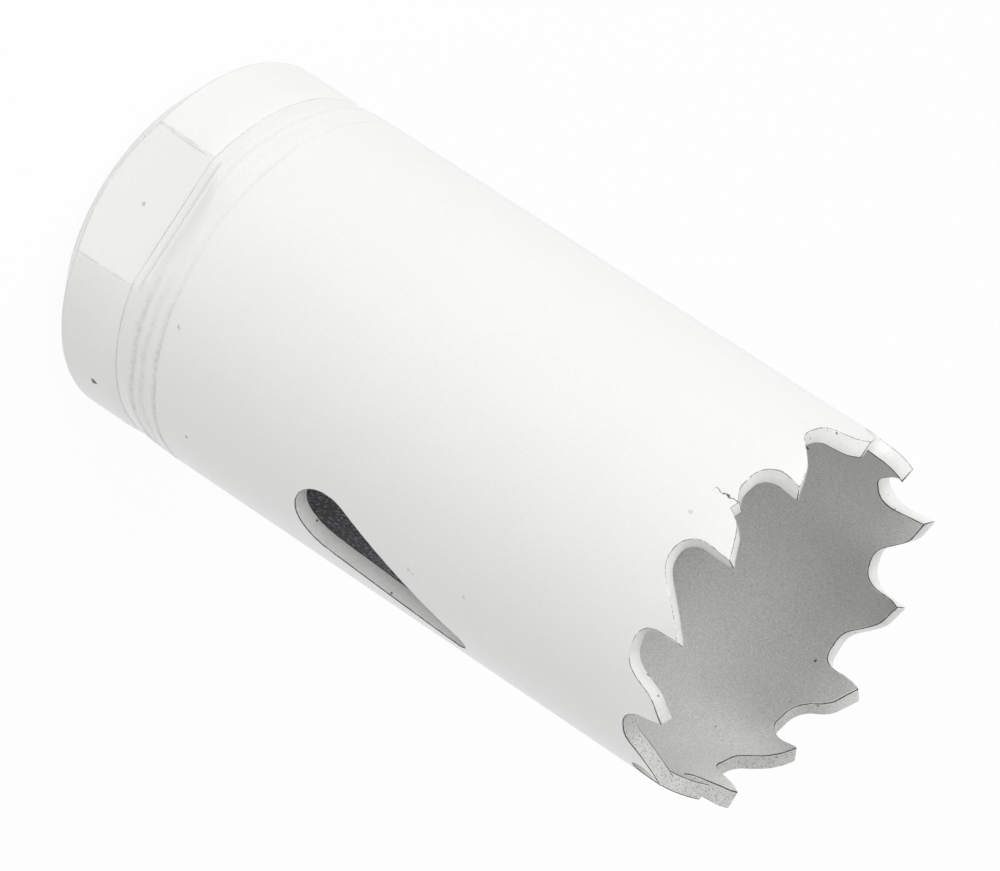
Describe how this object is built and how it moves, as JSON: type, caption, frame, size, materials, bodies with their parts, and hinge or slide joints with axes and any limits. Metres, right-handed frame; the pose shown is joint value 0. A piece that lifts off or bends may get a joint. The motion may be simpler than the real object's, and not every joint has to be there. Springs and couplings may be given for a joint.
{
  "type": "hole saw",
  "caption": "Hole saw: a thin toothed steel tube with two chip slots, welded to a thick threaded end cap with two wrench flats.",
  "frame": {"origin": "centre of the cap's face, which seats on the arbor", "axes": "+Z along the thread's axis, from the cap's face towards the teeth; the two wrench flats face +X and -X"},
  "size_m": [0.0245, 0.0242, 0.0506],
  "materials": {
    "enamel": "white gloss enamel over steel"
  },
  "bodies": {
    "root": {"saw_tube": "enamel", "cap": "enamel", "weld_ring": "enamel"}
  },
  "joints": []
}
